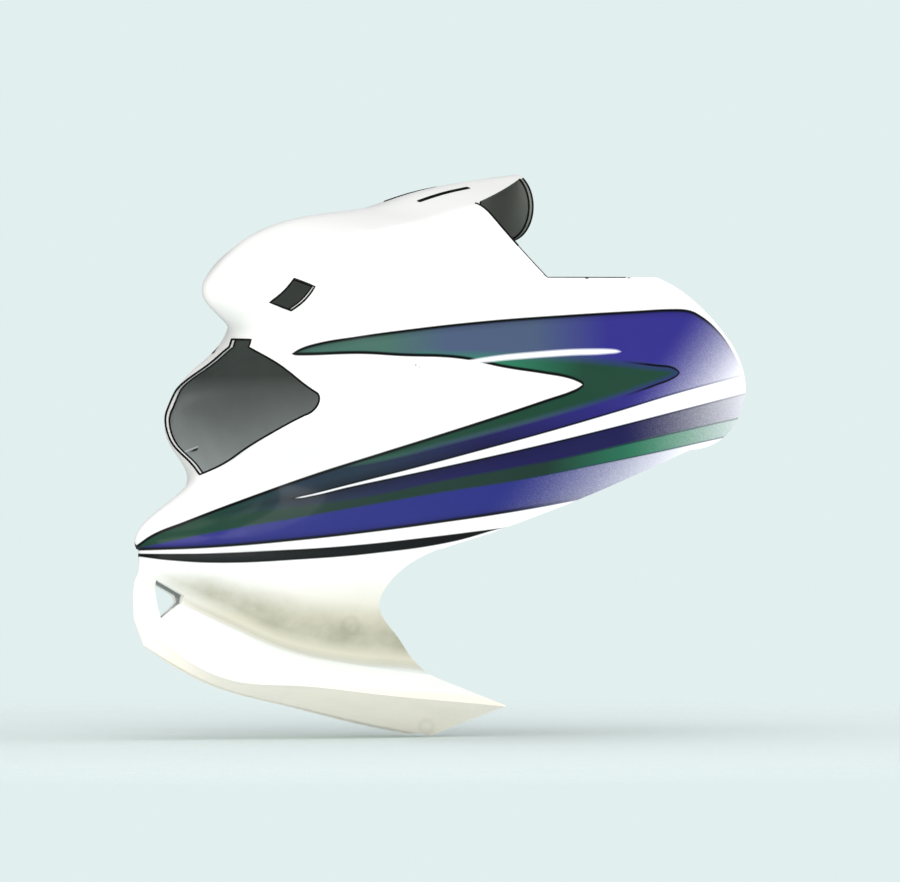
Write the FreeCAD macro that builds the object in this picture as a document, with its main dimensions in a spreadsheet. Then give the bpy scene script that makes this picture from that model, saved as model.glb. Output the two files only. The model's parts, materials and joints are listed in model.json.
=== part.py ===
"""Headlight visor of a light motorcycle: one moulded shell with a beaked front.

Sizes are in millimetres. While the shell is drawn, X runs rearward from the
beak tip, Y is sideways and Z is up from the beak tip. The finished shell is
then placed so that its origin lies in the middle of the four screw posts.
"""
import FreeCAD, Part
import math
import os

V = FreeCAD.Vector

NODE = "visor_shell"
HALVINGS = 60
FLAT = 1e-4
FOLD_COSINE = 0.999
ROOF_SHARES = (-1.0, -0.6, -0.3, -0.1, 0.0, 0.1, 0.3, 0.6, 1.0)
SEAM_LEVELS = ("lip", "lamp", "brow", "nose")
SEAM_SPOTS = ("bow", "side")

# Single sizes: walls, clearances, posts, holes and the lengths that stand alone.
SIZES = {
    "wall": 3.0,
    "side_x": 150.0,
    "flank_x": 270.0,
    "rear_x": 420.0,
    "roof_half_span": 160.0,
    "roof_ridge": 12.0,
    "roof_edge_radius": 12.0,
    "band_lap": 5.0,
    "band_inset": 1.2,
    "inner_foot": 10.0,
    "trim_room": 40.0,
    "eye_top_z": 129.0,
    "eye_brow_w": 45.0,
    "eye_brow_z": 116.8,
    "eye_corner_w": 88.8,
    "eye_corner_z": 94.5,
    "eye_corner_rise": 6.3,
    "eye_corner_fall": 8.2,
    "eye_corner_depth": 5.0,
    "eye_cheek_w": 46.8,
    "eye_cheek_z": 66.0,
    "eye_bottom_z": 46.8,
    "notch_half_width": 11.8,
    "notch_rise": 5.0,
    "stem_hole_x": 89.8,
    "stem_hole_z": 163.4,
    "stem_hole_run": 9.8,
    "stem_hole_rise": 15.4,
    "stem_hole_skew": 10.9,
    "stem_hole_fall": 5.2,
    "mouth_front_x": 9.5,
    "mouth_rear_x": 30.0,
    "mouth_top_z": -20.5,
    "mouth_corner_z": -31.0,
    "mouth_corner_drop": 5.0,
    "mouth_bottom_x": 15.5,
    "mouth_bottom_z": -46.0,
    "slot_x": 222.0,
    "slot_w": 20.0,
    "slot_length": 38.0,
    "slot_width": 3.0,
    "tab_setback": 9.5,
    "tab_half_width": 29.0,
    "tab_height": 45.0,
    "post_pitch_y": 116.0,
    "post_pitch_z": 102.0,
    "post_mid_z": 87.0,
    "post_face_x": 125.0,
    "post_length": 60.0,
    "post_radius": 6.0,
    "pilot_radius": 1.9,
    "pilot_depth": 18.0,
}

# Plan outlines of the upper shell, level by level from the beak to the hood.
PLAN_SPOTS = ("front", "bow", "cheek", "side", "flank", "wing")
LEVEL_COLUMNS = ("z", "front", "bow_x", "bow_w", "cheek_x", "cheek_w", "side_w", "flank_w", "wing_w")
LEVELS = {
    "keel": (-1.0, 0.0, 28.0, 24.0, 60.0, 45.0, 82.0, 124.0, 156.0),
    "beak": (20.0, 11.0, 34.0, 25.0, 63.0, 50.0, 86.0, 124.0, 153.0),
    "lip": (45.0, 46.0, 57.0, 28.0, 76.0, 57.0, 92.0, 124.0, 149.0),
    "sill": (64.5, 50.0, 53.0, 36.0, 73.0, 72.0, 99.0, 125.0, 146.0),
    "jowl": (80.0, 58.0, 61.5, 40.0, 73.0, 83.0, 105.0, 126.0, 144.0),
    "lamp": (97.0, 66.5, 72.5, 42.0, 83.5, 89.5, 109.0, 126.0, 141.0),
    "lash": (107.0, 71.0, 76.5, 41.0, 87.5, 84.0, 107.0, 124.0, 138.0),
    "lid": (117.0, 74.0, 80.0, 39.0, 95.0, 76.0, 102.0, 120.0, 133.0),
    "brow": (128.0, 75.5, 85.0, 36.0, 105.0, 69.0, 95.0, 113.0, 127.0),
    "arch": (138.0, 77.0, 89.0, 33.0, 108.0, 63.0, 88.0, 105.0, 120.0),
    "peak": (148.0, 66.0, 85.0, 30.0, 106.0, 58.0, 81.0, 97.0, 114.0),
    "nose": (166.0, 49.5, 69.0, 27.0, 93.0, 51.0, 72.0, 85.0, 105.0),
    "hood": (200.0, 54.0, 74.0, 26.0, 97.0, 46.0, 62.0, 71.0, 88.0),
    "crown": (250.0, 58.0, 77.0, 25.0, 99.0, 42.0, 54.0, 59.0, 72.0),
}

# Centre line of the roof and how steeply it falls sideways, from the nose to behind the tail.
ROOF_COLUMNS = ("x", "z", "fall")
ROOF = {
    "lead": (-24.0, 64.0, 0.9),
    "snout": (50.0, 166.0, 0.9),
    "bend": (62.0, 180.5, 0.75),
    "slope": (77.0, 193.5, 0.58),
    "rise": (101.0, 206.5, 0.4),
    "crest": (140.0, 215.0, 0.26),
    "saddle": (186.0, 220.5, 0.18),
    "ramp": (220.0, 230.0, 0.2),
    "tail": (294.0, 240.5, 0.2),
    "end": (420.0, 256.0, 0.2),
}

# Sections of the flank and chin: offset outward from the keel line, and height.
BAND_COLUMNS = ("x", "waist_d", "waist_z", "ridge_d", "ridge_z", "shelf_d", "shelf_z",
                "crease_d", "crease_z", "hem_d", "hem_z")
BAND = {
    "stem": (0.0, 0.5, -13.0, 3.8, -21.0, 5.0, -30.0, 4.5, -46.0, -3.0, -63.0),
    "jaw": (30.0, -5.0, -20.0, -21.0, -39.0, -23.0, -48.0, -18.0, -77.0, -24.0, -84.0),
    "middle": (90.0, -13.0, -38.0, -42.0, -67.0, -43.0, -70.0, -36.0, -90.0, -56.0, -103.0),
    "heel": (150.0, -18.0, -40.0, -55.0, -80.0, -55.0, -82.0, -48.0, -97.0, -76.0, -117.5),
    "end": (235.0, -22.0, -45.0, -76.0, -92.0, -76.0, -94.0, -69.0, -106.0, -104.0, -131.0),
}

# Side view of the open rear edge, from the tail down to the chin.
EDGE_COLUMNS = ("x", "z")
EDGE = {
    "tail_tip": (293.5, 240.4),
    "vee": (224.0, 222.0),
    "elbow": (263.0, 174.0),
    "wing_top": (343.0, 173.5),
    "wing_shoulder": (373.0, 147.0),
    "wing_end": (382.0, 112.0),
    "wing_heel": (371.0, 79.0),
    "wing_low": (337.5, 62.0),
    "wing_mid": (274.5, 36.0),
    "wing_root": (211.0, 11.6),
    "flank_top": (177.0, 0.0),
    "flank_mid": (149.5, -18.5),
    "flank_waist": (144.0, -34.0),
    "flank_low": (164.0, -57.0),
    "flank_foot": (182.0, -72.0),
    "chin_root": (204.0, -85.0),
    "chin_tip": (254.0, -105.0),
    "chin_heel": (217.0, -125.0),
}

doc = FreeCAD.newDocument("headlight_visor")
sheet = doc.addObject("Spreadsheet::Sheet", "sizes")


def fill_sheet():
    """Write every size to the sheet, one named cell each."""
    cells = dict(SIZES)
    tables = (("", LEVELS, LEVEL_COLUMNS), ("roof_", ROOF, ROOF_COLUMNS),
              ("band_", BAND, BAND_COLUMNS), ("edge_", EDGE, EDGE_COLUMNS))
    for prefix, table, columns in tables:
        for row, values in table.items():
            for column, value in zip(columns, values):
                cells[f"{prefix}{row}_{column}"] = value
    for line, (alias, value) in enumerate(cells.items(), start=1):
        sheet.set(f"A{line}", alias)
        sheet.set(f"B{line}", str(value))
        sheet.setAlias(f"B{line}", alias)
    doc.recompute()


def size(alias):
    """Value of one named cell."""
    return float(sheet.get(alias))


def offset_line(points, distance):
    """Open line of 2-D points moved to its right by a distance."""
    moved = []
    last = len(points) - 1
    for i, (a, b) in enumerate(points):
        before = points[max(i - 1, 0)]
        after = points[min(i + 1, last)]
        da, db = after[0] - before[0], after[1] - before[1]
        length = math.hypot(da, db)
        moved.append((a + distance * db / length, b - distance * da / length))
    return moved


def spline(points, parameters=None):
    """Smooth curve through 3-D points."""
    curve = Part.BSplineCurve()
    if parameters is None:
        curve.interpolate(points)
    else:
        curve.interpolate(Points=points, Parameters=parameters)
    return curve


def line_edge(start, end):
    return Part.LineSegment(start, end).toShape()


def closed_polygon(points):
    return Part.makePolygon(points + points[:1])


def feature(name, shape):
    """Drawn wire or face that later features are made from."""
    drawn = doc.addObject("Part::Feature", name)
    drawn.Shape = shape
    return drawn


def closed_solid(name, faces):
    """Solid bounded by faces that share their edges."""
    skin = Part.makeShell(faces)
    skin.sewShape()
    solid = Part.makeSolid(skin)
    if solid.Volume < 0:
        solid.reverse()
    return feature(name, solid)


def spacing(lines):
    """Curve parameters for lines of points, from the mean step between neighbours."""
    parameters = [0.0]
    for step in range(len(lines[0]) - 1):
        lengths = [line[step].distanceToPoint(line[step + 1]) for line in lines]
        parameters.append(parameters[-1] + math.sqrt(sum(lengths) / len(lengths)))
    return parameters


def grid_faces(rows, along=None, row_seams=(), point_seams=()):
    """Smooth faces through a grid of points, split where its seams lie."""
    across = spacing(rows)
    along = along or spacing(list(zip(*rows)))
    curves = [spline(row, across) for row in rows]
    columns = [spline(list(poles), along) for poles in zip(*(curve.getPoles() for curve in curves))]
    net = [list(poles) for poles in zip(*(column.getPoles() for column in columns))]
    row, column = curves[0], columns[0]
    surface = Part.BSplineSurface()
    surface.buildFromPolesMultsKnots(net, column.getMultiplicities(), row.getMultiplicities(),
                                     column.getKnots(), row.getKnots(), False, False,
                                     column.Degree, row.Degree)
    if not row_seams and not point_seams:
        return [surface.toShape()]
    row_stops = [along[i] for i in (0, *row_seams, -1)]
    point_stops = [across[i] for i in (0, *point_seams, -1)]
    faces = []
    for low, high in zip(row_stops, row_stops[1:]):
        for left, right in zip(point_stops, point_stops[1:]):
            patch = surface.copy()
            patch.segment(low, high, left, right)
            faces.append(patch.toShape())
    return faces


def edges_at(faces, axis, place):
    """Edges of the faces that lie in a plane across one axis."""
    def lies_in(edge):
        return all(abs(getattr(vertex.Point, axis) - place) < FLAT for vertex in edge.Vertexes)
    return [edge for face in faces for edge in face.Edges if lies_in(edge)]


def edges_round(faces, loop):
    """Edges of the faces that join points of a loop."""
    def on_loop(vertex):
        return min(vertex.Point.distanceToPoint(point) for point in loop) < FLAT
    return [edge for face in faces for edge in face.Edges if all(map(on_loop, edge.Vertexes))]


def capped_face(edges):
    """Flat face inside edges given in any order."""
    return Part.Face(Part.Wire(Part.__sortEdges__(edges)))


def extrusion(name, wire, direction, length, symmetric=True):
    """Prism of a closed wire; its length is an expression on the sheet."""
    prism = doc.addObject("Part::Extrusion", name)
    prism.Base = feature(f"{name}_outline", Part.Face(wire))
    prism.DirMode = "Custom"
    prism.Dir = direction
    prism.Solid = True
    prism.Symmetric = symmetric
    prism.setExpression("LengthFwd", length)
    return prism


def fuse(name, shapes):
    joined = doc.addObject("Part::MultiFuse", name)
    joined.Shapes = shapes
    return joined


def common(name, shapes):
    shared = doc.addObject("Part::MultiCommon", name)
    shared.Shapes = shapes
    return shared


def cut(name, base, tool):
    remainder = doc.addObject("Part::Cut", name)
    remainder.Base = base
    remainder.Tool = tool
    return remainder


def plan_points(level, inset):
    """Plan outline of one level, from the left rear round the front to the right rear."""
    half = [(size(f"{level}_front"), 0.0),
            (size(f"{level}_bow_x"), size(f"{level}_bow_w")),
            (size(f"{level}_cheek_x"), size(f"{level}_cheek_w")),
            (size("side_x"), size(f"{level}_side_w")),
            (size("flank_x"), size(f"{level}_flank_w")),
            (size("rear_x"), size(f"{level}_wing_w"))]
    outline = [(x, -w) for x, w in reversed(half[1:])] + half
    if not inset:
        return outline
    moved = offset_line(outline, inset)
    return [(size("rear_x"), moved[0][1])] + moved[1:-1] + [(size("rear_x"), moved[-1][1])]


def plan_rows(inset):
    """Plan outlines of all levels as rows of points."""
    return [[V(x, y, size(f"{level}_z")) for x, y in plan_points(level, inset)] for level in LEVELS]


def side_walls(name, inset):
    """Solid inside the side walls; the inner one also passes below the beak."""
    rows = plan_rows(inset)
    seams = [list(LEVELS).index(level) for level in SEAM_LEVELS]
    if inset:
        below = size("keel_z") - size("inner_foot")
        rows.insert(0, [V(x, y, below) for x, y in plan_points("keel", inset)])
        seams = [seam + 1 for seam in seams]
    middle, steps = len(PLAN_SPOTS) - 1, [PLAN_SPOTS.index(spot) for spot in SEAM_SPOTS]
    spots = sorted([middle - step for step in steps] + [middle + step for step in steps])
    faces = grid_faces(rows, row_seams=seams, point_seams=spots)
    low, high = rows[0], rows[-1]
    foot, head = line_edge(low[0], low[-1]), line_edge(high[0], high[-1])
    floor = capped_face(edges_at(faces, "z", low[0].z) + [foot])
    lid = capped_face(edges_at(faces, "z", high[0].z) + [head])
    rear = capped_face(edges_at(faces, "x", size("rear_x")) + [foot, head])
    return closed_solid(name, faces + [floor, lid, rear])


def roof_form(name, inset):
    """Solid under the crowned roof."""
    line = [(size(f"roof_{row}_x"), size(f"roof_{row}_z")) for row in ROOF]
    if inset:
        line = offset_line(line, inset)
    span, ridge = size("roof_half_span"), size("roof_ridge")
    rows = []
    for row, (x, z) in zip(ROOF, line):
        fall = size(f"roof_{row}_fall")
        across = [share * span for share in ROOF_SHARES]
        rows.append([V(x, y, z - fall * (math.hypot(y, ridge) - ridge)) for y in across])
    roof = grid_faces(rows)
    floor_z = size("keel_z") - size("inner_foot") - size("band_lap")
    corners = [rows[0][0], rows[0][-1], rows[-1][-1], rows[-1][0]]
    feet = [V(corner.x, corner.y, floor_z) for corner in corners]
    faces = roof + [Part.Face(closed_polygon(feet))]
    tops = [("x", line[0][0]), ("y", span), ("x", line[-1][0]), ("y", -span)]
    for i, (axis, place) in enumerate(tops):
        j = (i + 1) % len(tops)
        faces.append(capped_face(edges_at(roof, axis, place) + [
            line_edge(corners[j], feet[j]), line_edge(feet[j], feet[i]), line_edge(feet[i], corners[i])]))
    return closed_solid(name, faces)


def rounded_form(name, inset):
    """Side walls under the roof, with the long edge between them rounded."""
    plain = common(f"{name}_plain", [side_walls(f"{name}_sides", inset), roof_form(f"{name}_roof", inset)])
    doc.recompute()
    shape = plain.Shape
    radius = size("roof_edge_radius") - inset
    rounded = doc.addObject("Part::Fillet", name)
    rounded.Base = plain
    rounded.Edges = [(i, radius, radius) for i, edge in enumerate(shape.Edges, start=1)
                     if all(face.Surface.TypeId == "Part::GeomBSplineSurface"
                            for face in shape.ancestorsOfType(edge, Part.Face))
                     and is_fold(shape, edge)]
    return rounded


def is_fold(shape, edge):
    """True where the two faces at an edge meet at an angle."""
    middle = edge.valueAt(0.5 * (edge.FirstParameter + edge.LastParameter))
    normals = []
    for face in shape.ancestorsOfType(edge, Part.Face):
        u, v = face.Surface.parameter(middle)
        normals.append(face.normalAt(u, v))
    return abs(normals[0].dot(normals[1])) < FOLD_COSINE


def upper_shell():
    """Side walls and roof as one thin skin, and the form that bounds it."""
    wall = size("wall")
    outer, inner = rounded_form("outer_form", 0.0), rounded_form("inner_form", wall)
    return cut("upper_skin", outer, inner), outer


def keel_frame(curve, x, side):
    """Point on the keel line at a distance from the tip, and its outward direction."""
    middle = 0.5 * (curve.FirstParameter + curve.LastParameter)
    if x <= size("keel_front"):
        return curve.value(middle), V(-1, 0, 0)
    near, far = middle, (curve.LastParameter if side > 0 else curve.FirstParameter)
    for _ in range(HALVINGS):
        guess = 0.5 * (near + far)
        if curve.value(guess).x < x:
            near = guess
        else:
            far = guess
    tangent = curve.tangent(near)[0]
    direction = V(-tangent.y, tangent.x, 0)
    if direction.y * side < 0:
        direction = direction.negative()
    return curve.value(near), direction.normalize()


def band_section(curve, row, side):
    """Outer and inner points of the flank and chin in a section square to the keel line."""
    point, direction = keel_frame(curve, size(f"band_{row}_x"), side)
    wall = size("wall")
    outer = [(-0.5 * wall, size("keel_z") + size("band_lap")), (0.0, size("keel_z"))]
    outer += [(size(f"band_{row}_{spot}_d"), size(f"band_{row}_{spot}_z"))
              for spot in ("waist", "ridge", "shelf", "crease", "hem")]
    return [[V(point.x + d * direction.x, point.y + d * direction.y, z) for d, z in skin]
            for skin in (outer, offset_line(outer, wall))]


def lower_band():
    """Flank and chin as one thin band round the front."""
    keel_points = [V(x, y, 0) for x, y in plan_points("keel", size("band_inset"))]
    keel = spline(keel_points, spacing(plan_rows(0.0)))
    rows = list(BAND)
    sections = [band_section(keel, row, -1) for row in reversed(rows[1:])]
    sections += [band_section(keel, row, 1) for row in rows]
    loops = [outer + inner[::-1] for outer, inner in sections]
    along = spacing(list(zip(*loops)))
    runs = [spline(list(line), along).toShape() for line in zip(*loops)]
    lap, start, ridge = 0, 1, 3
    hem = len(sections[0][0]) - 1
    faces = [Part.makeRuledSurface(runs[hem], runs[hem + 1]), Part.makeRuledSurface(runs[-1], runs[lap])]
    for skin, rails in ((0, runs[:hem + 1]), (1, runs[:hem:-1])):
        flank = [section[skin][start:ridge + 1] for section in sections]
        faces += grid_faces(flank, along)
        faces += [Part.makeRuledSurface(rails[i], rails[i + 1]) for i in (lap, *range(ridge, hem))]
    ends = [capped_face(edges_round(faces, loop)) for loop in (loops[0], loops[-1])]
    return closed_solid("lower_band", faces + ends)


def edge_point(row):
    return V(size(f"edge_{row}_x"), 0, size(f"edge_{row}_z"))


def side_outline():
    """Prism across the whole width that gives the open rear edge its outline."""
    tail, vee, elbow = edge_point("tail_tip"), edge_point("vee"), edge_point("elbow")
    beyond = tail + (tail - vee).normalize() * size("roof_half_span")
    ceiling = size("roof_end_z") + size("band_lap")
    front = size("keel_front") - size("trim_room")
    floor = size("band_end_hem_z") - size("band_lap")
    wing = [edge_point(row) for row in ("wing_top", "wing_shoulder", "wing_end", "wing_heel", "wing_low")]
    brace = [edge_point(row) for row in ("wing_low", "wing_mid", "wing_root")]
    flank = [edge_point(row) for row in
             ("wing_root", "flank_top", "flank_mid", "flank_waist", "flank_low", "flank_foot", "chin_root")]
    chin = [edge_point(row) for row in ("chin_root", "chin_tip", "chin_heel")]
    low_rear = V(chin[-1].x, 0, floor)
    corners = [low_rear, V(front, 0, floor), V(front, 0, ceiling), V(beyond.x, 0, ceiling), beyond,
               vee, elbow, wing[0]]
    edges = [line_edge(a, b) for a, b in zip(corners, corners[1:])]
    edges += [spline(wing).toShape(), spline(brace).toShape(), spline(flank).toShape()]
    edges += [line_edge(chin[0], chin[1]), line_edge(chin[1], chin[2]), line_edge(chin[2], low_rear)]
    return extrusion("side_outline", Part.Wire(edges), V(0, 1, 0), "4 * sizes.roof_half_span")


def lamp_opening():
    """Eye-shaped headlamp opening with a small notch at its top."""
    top, bottom = size("eye_top_z"), size("eye_bottom_z")
    corner_w, corner_z = size("eye_corner_w"), size("eye_corner_z")
    upper_end = (corner_w - size("eye_corner_depth"), corner_z + size("eye_corner_rise"))
    lower_end = (corner_w - size("eye_corner_depth"), corner_z - size("eye_corner_fall"))
    notch_w, notch_z = size("notch_half_width"), top + size("notch_rise")
    brow = (size("eye_brow_w"), size("eye_brow_z"))
    cheek = (size("eye_cheek_w"), size("eye_cheek_z"))

    def side(sign):
        def at(pair):
            return V(0, sign * pair[0], pair[1])
        start = (notch_w, top)
        return [line_edge(at((0, notch_z)), at((notch_w, notch_z))),
                line_edge(at((notch_w, notch_z)), at(start)),
                Part.Arc(at(start), at(brow), at(upper_end)).toShape(),
                Part.Arc(at(upper_end), at((corner_w, corner_z)), at(lower_end)).toShape(),
                Part.Arc(at(lower_end), at(cheek), at((0, bottom))).toShape()]

    wire = Part.Wire(Part.__sortEdges__(side(1) + side(-1)))
    return extrusion("lamp_opening", wire, V(1, 0, 0), "2 * sizes.side_x")


def stem_openings():
    """Slanted four-sided holes for the indicator stems, cut straight across."""
    x, z = size("stem_hole_x"), size("stem_hole_z")
    run, rise = size("stem_hole_run") / 2, size("stem_hole_rise") / 2
    skew, fall = size("stem_hole_skew") / 2, size("stem_hole_fall") / 2
    points = [V(x - run - skew, 0, z - rise + fall), V(x + run - skew, 0, z + rise + fall),
              V(x + run + skew, 0, z + rise - fall), V(x - run + skew, 0, z - rise - fall)]
    return extrusion("stem_openings", closed_polygon(points), V(0, 1, 0), "2 * sizes.roof_half_span")


def mouth_opening():
    """Small openings beside the chin's front strap, cut straight across."""
    front, rear = size("mouth_front_x"), size("mouth_rear_x")
    corner_z = size("mouth_corner_z")
    points = [V(front, 0, size("mouth_top_z")), V(rear, 0, corner_z),
              V(rear, 0, corner_z - size("mouth_corner_drop")),
              V(size("mouth_bottom_x"), 0, size("mouth_bottom_z"))]
    return extrusion("mouth_opening", closed_polygon(points), V(0, 1, 0), "2 * sizes.roof_half_span")


def roof_slots():
    """Two narrow slots beside the roof's centre line."""
    slots = []
    for label, side in (("left", -1), ("right", 1)):
        slot = doc.addObject("Part::Box", f"roof_slot_{label}")
        slot.setExpression("Length", "sizes.slot_length")
        slot.setExpression("Width", "sizes.slot_width")
        slot.setExpression("Height", "sizes.roof_end_z - sizes.roof_crest_z")
        slot.setExpression("Placement.Base.x", "sizes.slot_x - sizes.slot_length / 2")
        slot.setExpression("Placement.Base.y", f"{side} * sizes.slot_w - sizes.slot_width / 2")
        slot.setExpression("Placement.Base.z", "sizes.roof_crest_z")
        slots.append(slot)
    return slots


def roof_height(x):
    """Height of the roof's centre line at a distance from the beak tip."""
    line = [(size(f"roof_{row}_x"), size(f"roof_{row}_z")) for row in ROOF]
    for (x0, z0), (x1, z1) in zip(line, line[1:]):
        if x0 <= x <= x1:
            return z0 + (z1 - z0) * (x - x0) / (x1 - x0)
    raise RuntimeError("a place lies outside the roof's length")


def tail_tab():
    """Rounded tab that hangs from the tail's underside."""
    half, drop = size("tab_half_width"), size("tab_height") / 2
    x = size("edge_tail_tip_x") - size("tab_setback")
    middle = V(x, 0, roof_height(x) + size("wall") - drop)
    long_axis, short_axis = sorted((V(0, half, 0), V(0, 0, drop)), key=lambda axis: -axis.Length)
    ellipse = Part.Ellipse(middle + long_axis, middle + short_axis, middle)
    return extrusion("tail_tab", Part.Wire(ellipse.toShape()), V(1, 0, 0), "sizes.wall")


def rod(name, y, z, radius, length, end):
    """Round rod along X that ends at a given place; all sizes are expressions."""
    cylinder = doc.addObject("Part::Cylinder", name)
    cylinder.Placement = FreeCAD.Placement(V(), FreeCAD.Rotation(V(0, 1, 0), 90))
    cylinder.setExpression("Radius", radius)
    cylinder.setExpression("Height", length)
    cylinder.setExpression("Placement.Base.x", f"{end} - {length}")
    cylinder.setExpression("Placement.Base.y", y)
    cylinder.setExpression("Placement.Base.z", z)
    return cylinder


def screw_posts():
    """Four posts behind the lamp opening and the pilot holes in their faces."""
    posts, pilots = [], []
    for row, up in (("lower", -0.5), ("upper", 0.5)):
        for label, side in (("left", -0.5), ("right", 0.5)):
            y = f"{side} * sizes.post_pitch_y"
            z = f"sizes.post_mid_z + {up} * sizes.post_pitch_z"
            posts.append(rod(f"post_{row}_{label}", y, z, "sizes.post_radius", "sizes.post_length",
                             "sizes.post_face_x"))
            pilots.append(rod(f"pilot_{row}_{label}", y, z, "sizes.pilot_radius",
                              "2 * sizes.pilot_depth", "sizes.post_face_x + sizes.pilot_depth"))
    return posts, pilots


def check_all(final):
    """Stop if any feature failed or the finished shell isn't one valid solid."""
    for item in doc.Objects:
        if "Invalid" in item.State or "Error" in item.State:
            raise RuntimeError(f"{item.Name} failed: {item.State}")
    shape = final.Shape
    if shape.isNull() or not shape.isValid():
        raise RuntimeError(f"{final.Label} has no valid shape")
    if len(shape.Solids) != 1:
        raise RuntimeError(f"{final.Label} has {len(shape.Solids)} solids")


def build():
    fill_sheet()
    upper, outer = upper_shell()
    skin = fuse("whole_skin", [upper, lower_band()])
    trimmed = common("trimmed_skin", [skin, side_outline()])
    openings = fuse("openings", [lamp_opening(), stem_openings(), mouth_opening()] + roof_slots())
    opened = cut("opened_skin", trimmed, openings)
    posts, pilots = screw_posts()
    seated = common("seated_lugs", [fuse("lugs", posts + [tail_tab()]), outer])
    carried = fuse("carried", [opened, seated])
    final = cut("finished_shell", carried, fuse("pilots", pilots))
    final.Label = NODE
    final.setExpression("Placement.Base.x", "-sizes.post_face_x")
    final.setExpression("Placement.Base.z", "-sizes.post_mid_z")
    doc.recompute()
    check_all(final)
    return final


os.makedirs("parts", exist_ok=True)
shell = build()
shell.Shape.exportStep(f"parts/{NODE}.step")
box = shell.Shape.BoundBox
print(f"{NODE}: {shell.Shape.Volume / 1000:.1f} cm3, {box.XLength:.1f} x {box.YLength:.1f} x {box.ZLength:.1f} mm")
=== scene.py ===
"""Headlight visor: painted and striped outside, bare grey plastic inside, on a pale studio stage."""

import json
import math

import bmesh
import bpy
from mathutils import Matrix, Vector
from mathutils.bvhtree import BVHTree


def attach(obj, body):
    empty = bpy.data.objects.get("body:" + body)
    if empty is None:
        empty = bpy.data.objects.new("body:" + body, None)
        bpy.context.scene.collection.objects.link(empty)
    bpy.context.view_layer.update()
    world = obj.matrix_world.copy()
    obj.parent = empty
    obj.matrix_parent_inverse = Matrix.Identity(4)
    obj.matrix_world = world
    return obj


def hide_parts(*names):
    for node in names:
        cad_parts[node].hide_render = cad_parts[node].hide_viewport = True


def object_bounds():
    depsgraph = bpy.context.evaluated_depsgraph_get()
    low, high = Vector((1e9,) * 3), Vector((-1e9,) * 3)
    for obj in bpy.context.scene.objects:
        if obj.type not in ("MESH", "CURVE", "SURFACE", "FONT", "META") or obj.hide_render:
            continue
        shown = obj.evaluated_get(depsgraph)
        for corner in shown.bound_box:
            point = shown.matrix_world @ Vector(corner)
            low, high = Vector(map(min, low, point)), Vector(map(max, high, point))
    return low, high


MM = 0.001

# The shell: what counts as a fold, a wall, a cut edge and square to an axis.
FOLD_ANGLE = math.radians(28)
SKIN_ANGLE = math.radians(9)
WELD_DISTANCE = 0.005 * MM
WALL = 3.0 * MM
CUT_EDGE_DEPTH = 1.25 * WALL
CUT_EDGE_WIDTH = 1.5 * WALL
SQUARE = 0.03
POST_RADIUS, POST_MARGIN = 6.0 * MM, 0.5 * MM
PAINTED, CUT_EDGE, BARE = 0, 1, 2

# How outside and inside are told apart: faces tried in a region, ways looked from each, start of a look.
SAMPLED_FACES = 160
LOOK_COUNT = 17
LOOK_START = 0.05 * MM

# Radius of the dark line along bare edges, where it runs, and where the tail's tab begins.
HEAVY_LINE, FINE_LINE, NO_LINE = 0.7 * MM, 0.35 * MM, 0.0
BEAD_SIDES = 6
LAMP_SIDE_X, LAMP_SIDE_Z = 5.0 * MM, -50.0 * MM
UPPER_EDGE_X, UPPER_EDGE_Z = 185.0 * MM, 80.0 * MM
TAIL_EDGE_Z = 106.0 * MM
TAB_X, TAB_Z = 150.0 * MM, 100.0 * MM
TAB_FOLD = math.radians(60)
TAB_BLEND = 1.0 * MM

# The stripes are laid out along the side of the shell: "along" runs rearward and
# outward from the beak tip, "up" from the beak tip's height, both in millimetres.
BEAK_TIP = Vector((-125.0, 0.0, -87.0)) * MM
ALONG_REAR, ALONG_SIDE = 0.839, 0.545
ALONG_SPAN = 400.0
UP_LOW, UP_SPAN = -140.0, 360.0

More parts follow.
